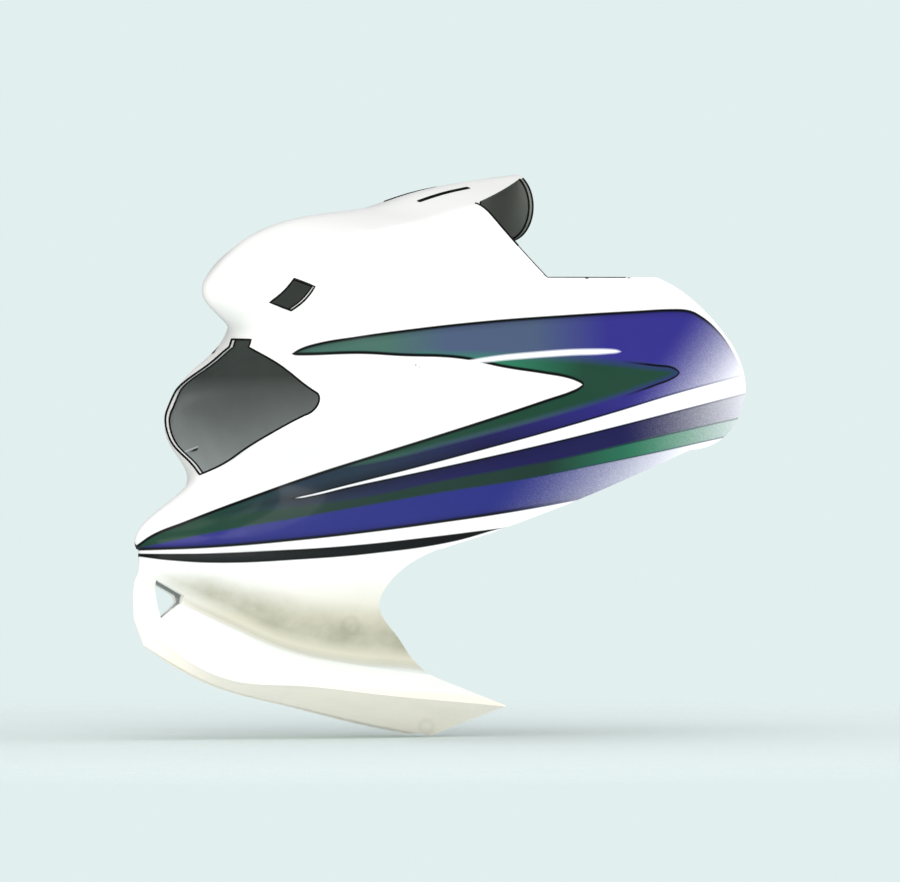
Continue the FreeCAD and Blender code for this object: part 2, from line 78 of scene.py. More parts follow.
# Edges of the printed fields, of the white sliver, and of the ridge between flank and chin, which is kept
# whiter partly as painted light: along and up.
SIDE_EDGES = {
    "blade top": [
        (0, 100), (98, 124.8), (104, 128.4), (114, 131.8), (142, 136.7), (170, 140.5), (223, 146.1),
        (279, 149.9), (321, 152.1), (347, 153.2), (357, 152.4), (364, 149.2), (376, 138.9), (385, 126),
        (400, 92)],
    "arrow top": [
        (0, 215), (94, 215), (98, 126), (103, 124), (142, 125.1), (170, 123.7), (208, 121.8), (237, 115.8),
        (264, 111.5), (276, 109.3), (283, 107), (288, 103.8), (292, 90), (400, 60)],
    "arrow low": [
        (0, 2.6), (9, 8.8), (30, 17.3), (72, 33.2), (114, 48.1), (156, 61.4), (195, 73.5), (237, 86.8),
        (264, 95.7), (280, 101), (285, 103.4), (288, 106), (292, 120), (400, 150)],
    "sliver top": [
        (0, 60), (205, 117.5), (211, 120), (223, 122.4), (255, 125.8), (293, 127.6), (307, 127.2),
        (312, 125.8), (316, 121), (400, 60)],
    "sliver low": [
        (0, 160), (205, 122.5), (211, 119.4), (223, 119.7), (237, 121), (279, 123.8), (304, 124.8),
        (312, 126), (316, 130), (400, 180)],
    "green top": [
        (0, 20), (100, 45), (165, 112), (185, 125.4), (213, 124.6), (237, 124), (272, 122.6), (306, 119.6),
        (335, 116.2), (346, 114.6), (350, 112), (354, 104), (400, 60)],
    "green low": [
        (0, 6), (72, 37), (114, 50), (135, 53), (156, 56.2), (195, 65.5), (237, 76.2), (279, 87.6),
        (306, 95.2), (335, 105), (346, 109.2), (350, 112.1), (354, 120), (400, 160)],
    "streak top": [
        (0, 2), (98, 30.6), (102, 32.2), (113, 34.8), (134.6, 40.3), (177.6, 51.1), (220.6, 62.4),
        (263.7, 73.9), (306.7, 86.1), (349.7, 98.8), (386, 108.1), (400, 111.5)],
    "streak low": [
        (0, 12), (98, 33.1), (102, 32.4), (113, 34.0), (134.6, 39.1), (177.6, 48.2), (220.6, 57.4),
        (263.7, 67), (306.7, 77.2), (349.7, 87.8), (390.5, 98), (400, 100.4)],
    "navy low": [
        (0, 6), (60, 20.5), (87, 24.9), (128, 30), (156, 34.6), (195, 42.8), (237, 50.4), (279, 58),
        (321, 67.4), (348, 73.4), (384, 81.2), (400, 84.4)],
    "band low": [
        (0, -0.4), (16, 3.2), (58, 11.9), (100, 19), (156, 28.8), (195, 35.4), (251, 44), (293, 52.2),
        (335, 60.6), (370, 68.1), (400, 74.4)],
    "blue low": [
        (0, -1.8), (45, 0), (100, 4.5), (156, 10.6), (195, 15.7), (237, 21.7), (279, 29), (340, 41.4),
        (400, 55)],
    "pin top": [
        (0, -3.6), (37, -3.5), (87, -1.6), (137, 1.5), (186, 6.5), (234, 12.2), (260, 15), (400, 30)],
    "pin low": [
        (0, -5.6), (21, -8.1), (54, -9.7), (104, -7.6), (153, -3.7), (203, 3.5), (234, 11.9), (260, 18),
        (400, 60)],
    "ridge top": [
        (0, -22), (28, -35), (59, -50), (96, -66), (139, -75), (188, -81), (240, -101), (400, -136)],
    "ridge low": [
        (0, -48), (12, -57), (53, -84), (79, -88), (139, -92), (235, -101), (400, -120)],
}

# Printed lines: softness and widths in millimetres, reach in widths, and where they start or end along.
EDGE_SOFTNESS = 0.8
SLIVER_SOFTNESS = 1.6
RIM_GAP_SOFTNESS = 0.5
LINE_WIDTH, THIN_WIDTH = 1.8, 1.1
LINE_BLUR = 0.4
OUTSIDE_REACH = (-1.4, -0.9)
INSIDE_REACH = (0.7, 1.5)
RIM_LINE_END = (366.0, 386.0)
RIM_LINE_GAP = (228.0, 285.0)
STREAK_LINE_END = (285.0, 415.0)
GREEN_LINE_START = (312.0, 330.0)
SEAM_START = (250.0, 320.0)
SEAM_STRENGTH = 0.45
PIN_CORE = (0.8, 2.2)
PIN_GREEN_END = (90.0, 200.0)

# Shades of the printed fields: where they start and end, and how strong they are.
SUNLIT_END = (224.0, 288.0)
SUNLIT_UP = (100.0, 114.0)
SPRAYED_EDGE = (-3.0, 4.0)
SPRAYED_GRAIN = 1.2
RIM_SHADE = (0.0, 6.0)
RIM_SHADE_STRENGTH = 0.35
STREAK_SHADE = (-7.0, 0.0)
STREAK_SHADE_END = (150.0, 330.0)
STREAK_SHADE_STRENGTH = 0.6

# White fades at the wing's end: where they start and end along, how they lean, their edges and grain.
UPPER_FADE = (332.0, 397.0)
MIDDLE_FADE = (310.0, 405.0)
LOW_FADE = (205.0, 315.0)
UPPER_FADE_UP = 119.0
FADE_LEAN = 0.7
FADE_SOFTNESS = 0.1
LOW_FADE_SOFTNESS = 0.2
GREEN_SOFTNESS = 1.0
FADE_GRAIN = 0.5
FADE_POWER = 2.1
GRAIN_MIDDLE = 0.5
GRAIN_START, GRAIN_END = (0.0, 0.2), (0.6, 1.0)

# Painted shade on the flank and in the crease over the ridge, ageing and grime low down, and the ridge and
# chin painted lighter as painted light: height over the ridge's top edge or up the side, in millimetres.
FLANK_SHADE_START, FLANK_SHADE_END = (5.0, 13.0), (20.0, 40.0)
FLANK_SHADE_UP = (-30.0, -12.0)
FLANK_SHADE_STRENGTH = 1.5
CREASE_START, CREASE_END = (-3.0, -1.0), (1.0, 4.0)
CREASE_UP = (-40.0, -30.0)
CREASE_STRENGTH = 0.35
AGED_AND_SHADED_UP = (-46.0, -14.0)
UNDER_RIDGE_TOP = (-2.0, 3.0)
RIDGE_EDGE = (-3.0, 2.0)
CLEAN_LIT_RIDGE, CLEAN_LIT_CHIN = 0.5, 0.4

# Patches and specks of dirt: the noise levels they show between, and their strength low down and all over.
PATCH_RANGE = (0.5, 0.75)
PATCH_LOW, PATCH_ALL = 0.25, 0.03
SPECK_RANGE = (0.73, 0.78)
SPECK_LOW, SPECK_ALL = 0.16, 0.05

# Shallow round sink marks on the flank and chin: along, up and radius, and how their rings are shaded.
SINK_MARKS = [(137.0, -51.0, 6.0), (186.0, -118.5, 5.0)]
RING_INSIDE, RING_OUTSIDE = (0.35, 0.8), (1.0, 1.25)
RING_STRENGTH = 0.13

# Chips in the paint, faint on the side and dark on the wing's top edge: along, up, radius and strength.
PAINT_CHIPS = [
    (179.2, 118.0, 0.9, 0.6), (181.6, 116.8, 0.6, 0.6), (264.0, 176.5, 2.4, 0.95),
    (290.3, 174.0, 1.8, 0.95), (317.7, 174.3, 1.8, 0.9)]
CHIP_CORE = 0.5

# A pale line that ends in a small dark mark, painted on the right inner wall. Its points are given as across
# and up, where "across" runs rearward and to the left from the beak tip.
PALE_LINE_START, PALE_LINE_END = (20.5, 57.4), (37.5, 63.4)
PALE_LINE_LEAD, PALE_LINE_STOP = 3.0, 1.0
PALE_LINE_EDGE = (0.2, 0.6)
PALE_LINE_STRENGTH = 0.7
DARK_MARK_LENGTH, DARK_MARK_WIDTH = 6.0, 0.8
DARK_MARK_EDGE = (0.6, 1.2)

# The mist of paint on the bare inside, which also paints in the light that falls on the lower inside: how
# high it reaches, and how it thickens with the cloud noise.
MIST_AND_LIGHT_HEIGHT = (-42.0 * MM, 22.0 * MM)
MIST_AND_LIGHT_CLOUD, MIST_AND_LIGHT_ALL = 0.5, 0.62

# Roughness of paint and bare plastic, and what their patches or cloud add to it.
PAINT_ROUGHNESS, PATCH_ROUGHNESS = 0.3478, 0.2174
BARE_ROUGHNESS, CLOUD_ROUGHNESS = 0.3333, 0.3333

# Noises: scale, detail and roughness.
PATCH_NOISE = (16.0, 5.0, 0.62)
SPECK_NOISE = (380.0, 2.0, 0.55)
FLANK_SHADE_NOISE = (34.0, 4.0, 0.6)
PAINT_GRAIN = (900.0, 2.0, 0.55)
INK_GRAIN = (1500.0, 2.0, 0.75)
BARE_CLOUD = (22.0, 5.0, 0.65)
BARE_TONE = (60.0, 4.0, 0.55)
BARE_GRAIN = (1500.0, 2.0, 0.55)

# The stage: floor, lights by name, place, size and power, camera and sky, in metres and watts.
FLOOR_RADIUS, FLOOR_SIDES = 2.4, 96
FLOOR_GAP = 1.0 * MM
FLOOR_FADE = (0.2, 0.85)
LIGHTS = [
    ("key light", (-0.9, -1.3, 1.5), 1.4, 10.0),
    ("fill light", (1.6, -1.4, 0.6), 1.6, 3.0),
    ("low light", (-0.7, -1.2, -0.15), 0.8, 6.5),
    ("rear light", (1.6, -0.5, -0.05), 1.0, 6.0)]
VIEW_TARGET = Vector((0.0437, -0.1097, -0.018))
VIEW_AZIMUTH, VIEW_ELEVATION = math.radians(-33.0), math.radians(1.0)
VIEW_DISTANCE, VIEW_WIDTH = 12.0, 0.5806
SENSOR_WIDTH = 36.0
SKY_LOW, SKY_TOP = (0.84, 0.80, 0.72, 1.0), (0.94, 0.94, 0.94, 1.0)
SKY_TOP_PLACE = 0.85

# Sockets of a Mix node that mixes colours.
MIX_SHARE, MIX_UNDER, MIX_OVER, MIX_RESULT = 0, 6, 7, 2


def srgb(red, green, blue):
    """Linear colour of an 8-bit display colour."""
    def linear(channel):
        share = channel / 255
        return share / 12.92 if share <= 0.04045 else ((share + 0.055) / 1.055) ** 2.4
    return (linear(red), linear(green), linear(blue), 1.0)


WHITE_PAINT = srgb(246, 247, 246)
# Cream low down: partly aged paint, partly painted shade on the faces that turn downward.
CREAM_PAINT = srgb(233, 226, 208)
# Warm white painted on the chin for how the chin is lit.
CHIN_LIT_PAINT = srgb(253, 245, 233)
# Grey-brown of the dirt patches and specks, also used for the painted shade on the flank.
GRIME_AND_SHADE = srgb(182, 178, 158)
INK_BLACK = srgb(3, 5, 9)
TEAL = srgb(66, 104, 93)
SLATE = srgb(69, 86, 115)
VIOLET = srgb(45, 41, 132)
GREEN_DARK = srgb(25, 66, 50)
GREEN_BRIGHT = srgb(42, 124, 94)
GREEN_BAND = srgb(27, 54, 46)
NAVY = srgb(27, 26, 78)
NAVY_TEAL = srgb(32, 48, 64)
BRIGHT_BLUE = srgb(38, 43, 122)
SNOW = srgb(240, 243, 250)
PIN_GREEN = srgb(12, 21, 20)
BARE_GREY = srgb(59, 65, 61)
BARE_LIGHT = srgb(73, 79, 75)
BARE_EDGE = srgb(14, 16, 16)
# Pale overspray on the bare inside, which also paints the light that falls in low down.
OVERSPRAY_AND_LIGHT = srgb(190, 199, 198)
# Paler grey painted on the tail's tab to brighten it in its shade.
TAB_LIT_GREY = srgb(128, 132, 126)
FLOOR_MINT = srgb(215, 227, 227)
STAGE_MINT = srgb(226, 239, 239)
MIRRORED_GREY = srgb(96, 100, 102)

# Colours of the printed fields, by the share of the side's length.
BLADE_STOPS = [(0.26, TEAL), (0.40, TEAL), (0.50, SLATE), (0.64, SLATE), (0.76, VIOLET)]
NAVY_STOPS = [(0.1, GREEN_DARK), (0.26, NAVY_TEAL), (0.36, NAVY_TEAL), (0.56, NAVY), (0.85, VIOLET)]
UNDER_STREAK_STOPS = [(0.1, GREEN_DARK), (0.26, NAVY_TEAL), (0.5, NAVY), (0.8, NAVY)]
BAND_STOPS = [(0.1, GREEN_DARK), (0.3, GREEN_BAND), (0.66, GREEN_BAND), (0.86, GREEN_BRIGHT)]
WEDGE_STOPS = [(0.0, VIOLET), (0.2, BRIGHT_BLUE), (0.6, BRIGHT_BLUE)]

# The fields under the blade and arrowhead, from the top: the edge each starts at, its softness and colours.
LOWER_FIELDS = [
    ("green low", 1.2, NAVY_STOPS),
    ("streak low", 0.5, UNDER_STREAK_STOPS),
    ("navy low", 1.0, BAND_STOPS),
    ("band low", 0.8, WEDGE_STOPS)]


class Finish:
    """One material and the short calls its pattern is written in."""

    def __init__(self, name):
        self.material = bpy.data.materials.new(name)
        self.material.use_nodes = True
        self.nodes = self.material.node_tree.nodes
        self.links = self.material.node_tree.links
        self.shader = self.nodes["Principled BSDF"]

    def put(self, socket, value):
        if hasattr(value, "is_output"):
            self.links.new(value, socket)
        else:
            socket.default_value = value

    def calc(self, operation, *values, clamp=False):
        node = self.nodes.new("ShaderNodeMath")
        node.operation = operation
        node.use_clamp = clamp
        for socket, value in zip(node.inputs, values):
            self.put(socket, value)
        return node.outputs[0]

    def plus(self, first, second):
        return self.calc("ADD", first, second)

    def minus(self, first, second):
        return self.calc("SUBTRACT", first, second)

    def times(self, first, *others):
        """Product, and so the share that lies in every mask at once."""
        for other in others:
            first = self.calc("MULTIPLY", first, other)
        return first

    def larger(self, first, *others):
        for other in others:
            first = self.calc("MAXIMUM", first, other)
        return first

    def scaled(self, value, factor, start):
        return self.calc("MULTIPLY_ADD", value, factor, start)

    def reach(self, across, over):
        """Length of an offset in a plane."""
        return self.calc("SQRT", self.plus(self.times(across, across), self.times(over, over)))

    def without(self, mask):
        return self.calc("SUBTRACT", 1.0, mask, clamp=True)

    def rising(self, value, start, end):
        """0 before start, 1 after end, straight in between."""
        node = self.nodes.new("ShaderNodeMapRange")
        for name, given in (("Value", value), ("From Min", start), ("From Max", end)):
            self.put(node.inputs[name], given)
        return node.outputs["Result"]

    def falling(self, value, start, end):
        """1 before start, 0 after end, straight in between."""
        return self.without(self.rising(value, start, end))

    def mix(self, mask, under, over):
        node = self.nodes.new("ShaderNodeMix")
        node.data_type = "RGBA"
        self.put(node.inputs[MIX_SHARE], mask)
        self.put(node.inputs[MIX_UNDER], under)
        self.put(node.inputs[MIX_OVER], over)
        return node.outputs[MIX_RESULT]

    def ramp(self, value, stops):
        node = self.nodes.new("ShaderNodeValToRGB")
        row = node.color_ramp.elements
        while len(row) < len(stops):
            row.new(0.5)
        for element, (place, colour) in zip(row, stops):
            element.position = place
            element.color = colour
        self.put(node.inputs[0], value)
        return node.outputs["Color"]

    def place(self):
        return self.nodes.new("ShaderNodeTexCoord").outputs["Object"]

    def split(self, vector):
        node = self.nodes.new("ShaderNodeSeparateXYZ")
        self.put(node.inputs[0], vector)
        return node.outputs

    def noise(self, place, scale, detail, roughness):
        node = self.nodes.new("ShaderNodeTexNoise")
        self.put(node.inputs["Vector"], place)
        node.inputs["Scale"].default_value = scale
        node.inputs["Detail"].default_value = detail
        node.inputs["Roughness"].default_value = roughness
        return node.outputs["Fac"]

    def bump(self, height, strength, distance):
        node = self.nodes.new("ShaderNodeBump")
        node.inputs["Strength"].default_value = strength
        node.inputs["Distance"].default_value = distance
        self.put(node.inputs["Height"], height)
        self.links.new(node.outputs[0], self.shader.inputs["Normal"])

    def colour(self, value):
        self.put(self.shader.inputs["Base Color"], value)

    def gloss(self, roughness, shine, coat=0.0, coat_roughness=0.05):
        self.put(self.shader.inputs["Roughness"], roughness)
        self.shader.inputs["Specular IOR Level"].default_value = shine
        self.shader.inputs["Coat Weight"].default_value = coat
        self.shader.inputs["Coat Roughness"].default_value = coat_roughness


class Side:
    """The side of the shell as a drawing sheet, with each point's distance along it and height up it."""

    def __init__(self, finish, place):
        self.finish = finish
        self.edges = {}
        x, y, z = finish.split(place)
        outward = finish.times(finish.calc("ABSOLUTE", y), ALONG_SIDE / MM)
        rear = finish.times(finish.minus(x, BEAK_TIP.x), ALONG_REAR / MM)
        self.along = finish.plus(rear, outward)
        self.across = finish.minus(rear, finish.times(y, ALONG_SIDE / MM))
        self.up = finish.calc("DIVIDE", finish.minus(z, BEAK_TIP.z), MM)
        self.share = finish.calc("DIVIDE", self.along, ALONG_SPAN)

    def edge(self, name):
        """Height of a named edge at each distance along the side, in millimetres."""
        if name not in self.edges:
            points = SIDE_EDGES[name]
            node = self.finish.nodes.new("ShaderNodeFloatCurve")
            curve = node.mapping.curves[0]
            while len(curve.points) < len(points):
                curve.points.new(0.5, 0.5)
            for spot, (distance, up) in zip(curve.points, points):
                spot.location = (distance / ALONG_SPAN, (up - UP_LOW) / UP_SPAN)
                spot.handle_type = "AUTO_CLAMPED"
            node.mapping.update()
            self.finish.put(node.inputs["Value"], self.share)
            self.edges[name] = self.finish.scaled(node.outputs[0], UP_SPAN, UP_LOW)
        return self.edges[name]

    def over(self, name):
        """Height over a named edge, in millimetres."""
        return self.finish.minus(self.up, self.edge(name))

    def below(self, name, softness):
        return self.finish.falling(self.over(name), -softness, softness)

    def field(self, top, low):
        """How far a point lies inside the field between two edges, in millimetres."""
        under_top = self.finish.minus(self.edge(top), self.up)
        return self.finish.calc("MINIMUM", under_top, self.over(low))

    def after(self, span):
        return self.finish.rising(self.along, *span)

    def before(self, span):
        return self.finish.falling(self.along, *span)

    def distance_to(self, along, up):
        """Distance from a mark on the side, in millimetres."""
        return self.finish.reach(self.finish.minus(self.along, along), self.finish.minus(self.up, up))


def fill(finish, depth, softness=EDGE_SOFTNESS):
    """Cover of a field, soft at its edge."""
    return finish.rising(depth, -softness / 2, softness / 2)


def outside_line(finish, depth, width=LINE_WIDTH):
    """Dark line just outside a field's edge."""
    far, near = OUTSIDE_REACH
    outer = finish.rising(depth, far * width, near * width)
    return finish.times(outer, finish.falling(depth, -LINE_BLUR / 2, LINE_BLUR))


def inside_line(finish, depth, width=LINE_WIDTH):
    """Dark line just inside a field's edge."""
    near, far = INSIDE_REACH
    inner = finish.falling(depth, near * width, far * width)
    return finish.times(finish.rising(depth, -LINE_BLUR, LINE_BLUR / 2), inner)


def hairline(finish, over):
    """Thin line along the edge between two fields."""
    return finish.falling(finish.calc("ABSOLUTE", over), LINE_BLUR / 2, 2 * LINE_BLUR)


def grainy(finish, share, grain, strength):
    """A fade with the fine grain of sprayed ink."""
    part = finish.times(finish.rising(share, *GRAIN_START), finish.falling(share, *GRAIN_END), strength)
    speckle = finish.times(finish.minus(grain, GRAIN_MIDDLE), part)
    return finish.calc("ADD", share, speckle, clamp=True)


def field_colours(side, grain, green):
    """Colours of the printed fields, from the blade at the top to the blue wedge at the bottom."""
    finish = side.finish
    sunlit = finish.times(side.before(SUNLIT_END), finish.rising(side.up, *SUNLIT_UP))
    arrowhead = finish.mix(sunlit, GREEN_DARK, GREEN_BRIGHT)
    sprayed = grainy(finish, finish.rising(green, *SPRAYED_EDGE), grain, SPRAYED_GRAIN)
    colour = finish.mix(sprayed, finish.ramp(side.share, BLADE_STOPS), arrowhead)
    for edge, softness, stops in LOWER_FIELDS:
        colour = finish.mix(side.below(edge, softness), colour, finish.ramp(side.share, stops))
    return colour


def printed_shade(side, whole, streak, colour):
    """The fields darkened towards their rim and round the white streak."""
    finish = side.finish
    rim = finish.times(finish.falling(whole, *RIM_SHADE), RIM_SHADE_STRENGTH)
    colour = finish.mix(rim, colour, INK_BLACK)
    near_streak = finish.times(finish.rising(streak, *STREAK_SHADE), side.before(STREAK_SHADE_END))
    return finish.mix(finish.times(near_streak, STREAK_SHADE_STRENGTH), colour, INK_BLACK)


def sprayed_fade(side, grain, green):
    """Share of white sprayed over the fields at the wing's end."""
    finish = side.finish
    upper_lean = finish.times(finish.minus(side.up, UPPER_FADE_UP), FADE_LEAN)
    under_streak = side.below("streak low", FADE_SOFTNESS)
    upper = finish.times(finish.rising(finish.minus(side.along, upper_lean), *UPPER_FADE),
                         finish.without(under_streak),
                         finish.without(fill(finish, green, GREEN_SOFTNESS)))
    middle = finish.times(side.after(MIDDLE_FADE), under_streak)
    low_lean = finish.times(side.up, FADE_LEAN)
    low = finish.times(finish.rising(finish.minus(side.along, low_lean), *LOW_FADE),
                       side.below("band low", LOW_FADE_SOFTNESS))
    fade = grainy(finish, finish.larger(upper, middle, low), grain, FADE_GRAIN)
    return finish.calc("POWER", fade, FADE_POWER)


def printed_lines(side, whole, arrow, streak, green):
    """Dark lines along the rim, the arrow, the streak and the green field's tip."""
    finish = side.finish
    gap = finish.times(side.below("band low", RIM_GAP_SOFTNESS), side.after(RIM_LINE_GAP))
    rim = finish.times(inside_line(finish, whole), finish.without(gap), side.before(RIM_LINE_END))
    streak_line = finish.times(outside_line(finish, streak, THIN_WIDTH), side.before(STREAK_LINE_END))
    tip = finish.times(outside_line(finish, green, THIN_WIDTH), side.after(GREEN_LINE_START))
    return finish.larger(outside_line(finish, arrow), rim, streak_line, tip)


def stripe_colours(side, place):
    """Where the blue and green stripes cover the side, and their colours."""
    finish = side.finish
    whole = side.field("blade top", "blue low")
    arrow = side.field("arrow top", "arrow low")
    sliver = side.field("sliver top", "sliver low")
    streak = side.field("streak top", "streak low")
    green = side.field("green top", "green low")
    grain = finish.noise(place, *INK_GRAIN)
    colour = printed_shade(side, whole, streak, field_colours(side, grain, green))
    colour = finish.mix(sprayed_fade(side, grain, green), colour, SNOW)
    seams = finish.larger(hairline(finish, side.over("navy low")), hairline(finish, side.over("band low")))
    colour = finish.mix(finish.times(seams, side.after(SEAM_START), SEAM_STRENGTH), colour, INK_BLACK)
    colour = finish.mix(printed_lines(side, whole, arrow, streak, green), colour, INK_BLACK)
    # A thin white sliver over the fields above the arrow, drawn into the colour.
    colour = finish.mix(fill(finish, sliver, SLIVER_SOFTNESS), colour, SNOW)
    colour = finish.mix(fill(finish, streak), colour, SNOW)
    return finish.times(fill(finish, whole), finish.without(fill(finish, arrow))), colour


def pin_stripe(side):
    """Where the thin dark stripe under the others runs, and its colour."""
    finish = side.finish
    pin = side.field("pin top", "pin low")
    core = finish.times(finish.rising(pin, *PIN_CORE), side.before(PIN_GREEN_END))
    return fill(finish, pin), finish.mix(core, INK_BLACK, PIN_GREEN)


def flank_painted_shade(side, place):
    """Painted shade on the flank, painted shade darker in the crease over the ridge, and the shaded rings of
    the sink marks.
    """
    finish = side.finish
    over = side.over("ridge top")
    # Painted shade: the flank is darkened in a noisy band above the ridge, and more in the crease just over
    # it.
    flank_shade = finish.times(finish.rising(over, *FLANK_SHADE_START), finish.falling(over, *FLANK_SHADE_END),
                        finish.falling(side.up, *FLANK_SHADE_UP))
    crease = finish.times(finish.rising(over, *CREASE_START), finish.falling(over, *CREASE_END),
                          finish.falling(side.up, *CREASE_UP))
    shade_and_dirt = finish.plus(finish.times(flank_shade, finish.noise(place, *FLANK_SHADE_NOISE), FLANK_SHADE_STRENGTH),
                       finish.times(crease, CREASE_STRENGTH))
    for along, up, radius in SINK_MARKS:
        reach = finish.calc("DIVIDE", side.distance_to(along, up), radius)
        ring = finish.times(finish.rising(reach, *RING_INSIDE), finish.falling(reach, *RING_OUTSIDE))
        shade_and_dirt = finish.plus(shade_and_dirt, finish.times(ring, RING_STRENGTH))
    return shade_and_dirt


def paint_chips(side):
    """Where the paint is chipped off."""
    finish = side.finish
    chips = []
    for along, up, radius, strength in PAINT_CHIPS:
        reach = side.distance_to(along, up)
        chips.append(finish.times(finish.falling(reach, CHIP_CORE * radius, radius), strength))
    return finish.larger(*chips)


def white_paint(side, place):
    """Gloss white with a little ageing and grime low down, painted shade on the flank, painted light on the
    ridge and chin, faint sink marks and chips.
    """
    finish = side.finish
    under_top = finish.falling(side.over("ridge top"), *UNDER_RIDGE_TOP)
    ridge = side.field("ridge top", "ridge low")
    # Painted light: the upward-facing ridge keeps most of its white and the chin some of it, against the
    # cream that stands partly for ageing and partly for painted shade.
    clean_and_lit = finish.times(under_top, finish.scaled(finish.rising(ridge, *RIDGE_EDGE), CLEAN_LIT_RIDGE, CLEAN_LIT_CHIN))
    low = finish.times(finish.falling(side.up, *AGED_AND_SHADED_UP), finish.without(clean_and_lit))
    # Painted light: the chin gets its own warm white for how it is lit.
    chin = finish.times(under_top, finish.falling(ridge, *RIDGE_EDGE))
    aged_shaded_and_lit = finish.mix(chin, finish.mix(low, WHITE_PAINT, CREAM_PAINT), CHIN_LIT_PAINT)
    patches = finish.rising(finish.noise(place, *PATCH_NOISE), *PATCH_RANGE)
    specks = finish.rising(finish.noise(place, *SPECK_NOISE), *SPECK_RANGE)
    shade_and_dirt = finish.plus(finish.times(patches, finish.scaled(low, PATCH_LOW, PATCH_ALL)),
                       finish.times(specks, finish.scaled(low, SPECK_LOW, SPECK_ALL)))
    shade_and_dirt = finish.plus(shade_and_dirt, flank_painted_shade(side, place))
    roughness = finish.scaled(patches, PATCH_ROUGHNESS, PAINT_ROUGHNESS)
    finish.gloss(roughness, shine=0.2, coat=0.1, coat_roughness=0.08)
    finish.bump(finish.noise(place, *PAINT_GRAIN), strength=0.05, distance=0.02 * MM)
    return finish.mix(paint_chips(side), finish.mix(shade_and_dirt, aged_shaded_and_lit, GRIME_AND_SHADE), BARE_GREY)


def striped_paint():
    finish = Finish("striped gloss paint")
    place = finish.place()
    side = Side(finish, place)
    printed, stripes = stripe_colours(side, place)
    pin, pin_colour = pin_stripe(side)
    colour = finish.mix(printed, white_paint(side, place), stripes)
    finish.colour(finish.mix(pin, colour, pin_colour))
    return finish.material


def cut_edge_paint():
    finish = Finish("painted cut edge")
    place = finish.place()
    finish.colour(white_paint(Side(finish, place), place))
    return finish.material


def pale_line_and_dark_mark(side):
    """Where the inner wall has a pale line painted on it, and where a small dark mark."""
    finish = side.finish
    (start, start_up), (end, end_up) = PALE_LINE_START, PALE_LINE_END
    slope = (end_up - start_up) / (end - start)
    over = finish.minus(side.up, finish.scaled(finish.minus(side.across, start), slope, start_up))
    within = finish.times(finish.rising(side.across, start, start + PALE_LINE_LEAD),
                          finish.falling(side.across, end - PALE_LINE_STOP, end))
    pale_line = finish.times(within, finish.falling(finish.calc("ABSOLUTE", over), *PALE_LINE_EDGE))
    under = finish.calc("ABSOLUTE", finish.plus(over, PALE_LINE_EDGE[1] + DARK_MARK_WIDTH))
    core, rim = DARK_MARK_EDGE
    dark_mark = finish.times(finish.rising(side.across, end - DARK_MARK_LENGTH, end - DARK_MARK_LENGTH / 2), within,
                        finish.falling(under, core * DARK_MARK_WIDTH, rim * DARK_MARK_WIDTH))
    return pale_line, dark_mark


def bare_plastic():
    """Unpainted grey inside with a fine grain, misted with paint low down where it also paints in the light
    falling there, and painted paler on the tail's tab as painted light.
    """
    finish = Finish("bare grey plastic")
    place = finish.place()
    x, _, z = finish.split(place)
    cloud = finish.noise(place, *BARE_CLOUD)
    # Painted light: the bare inside gets lighter towards the bottom, laid on as a mist of overspray.
    mist_and_light = finish.times(finish.falling(z, *MIST_AND_LIGHT_HEIGHT), finish.scaled(cloud, MIST_AND_LIGHT_CLOUD, MIST_AND_LIGHT_ALL))
    # Painted light: the tail's tab is painted a paler grey to brighten it in the shade under the hood.
    tab = finish.times(finish.rising(x, TAB_X - TAB_BLEND, TAB_X), finish.rising(z, TAB_Z, TAB_Z + TAB_BLEND))
    grey = finish.mix(finish.noise(place, *BARE_TONE), BARE_GREY, BARE_LIGHT)
    grey = finish.mix(tab, grey, TAB_LIT_GREY)
    pale_line, dark_mark = pale_line_and_dark_mark(Side(finish, place))
    marked_grey = finish.mix(finish.times(pale_line, PALE_LINE_STRENGTH), finish.mix(mist_and_light, grey, OVERSPRAY_AND_LIGHT), SNOW)
    finish.colour(finish.mix(dark_mark, marked_grey, INK_BLACK))
    finish.gloss(finish.scaled(cloud, CLOUD_ROUGHNESS, BARE_ROUGHNESS), shine=0.3)
    finish.bump(finish.noise(place, *BARE_GRAIN), strength=0.25, distance=0.05 * MM)
    return finish.material


def bare_edge():
    """Dark plastic where the paint stops at a cut edge."""
    finish = Finish("bare dark edge")
    finish.colour(BARE_EDGE)
    finish.gloss(roughness=0.6, shine=0.15)
    return finish.material


def welded_copy(node):
    """Copy of a CAD node's loose triangles with their doubles merged."""
    shell = bmesh.new()
    shell.from_mesh(node.data)
    bmesh.ops.remove_doubles(shell, verts=shell.verts, dist=WELD_DISTANCE)
    bmesh.ops.dissolve_degenerate(shell, edges=shell.edges, dist=WELD_DISTANCE)
    shell.normal_update()
    shell.verts.index_update()
    shell.faces.index_update()
    return shell


def skin_regions(shell):
    """Groups of faces that join without an edge between them."""
    seen, regions = set(), []
    for first in shell.faces:
        if first.index in seen:
            continue
        seen.add(first.index)
        region, front = [], [first]
        while front:
            face = front.pop()
            region.append(face)
            for edge in face.edges:
                if edge.calc_face_angle(math.pi) > SKIN_ANGLE:
                    continue
                for other in edge.link_faces:
                    if other.index not in seen:
                        seen.add(other.index)
                        front.append(other)
        regions.append(region)
    return regions


def look_directions():
    """Directions spread evenly over a half sphere round +Z."""
    golden = math.pi * (3 - math.sqrt(5))
    spread = []
    for i in range(LOOK_COUNT):
        height = (i + 0.5) / LOOK_COUNT
        ring = math.sqrt(1 - height * height)
        spread.append(Vector((ring * math.cos(i * golden), ring * math.sin(i * golden), height)))
    return spread


DIRECTIONS = look_directions()


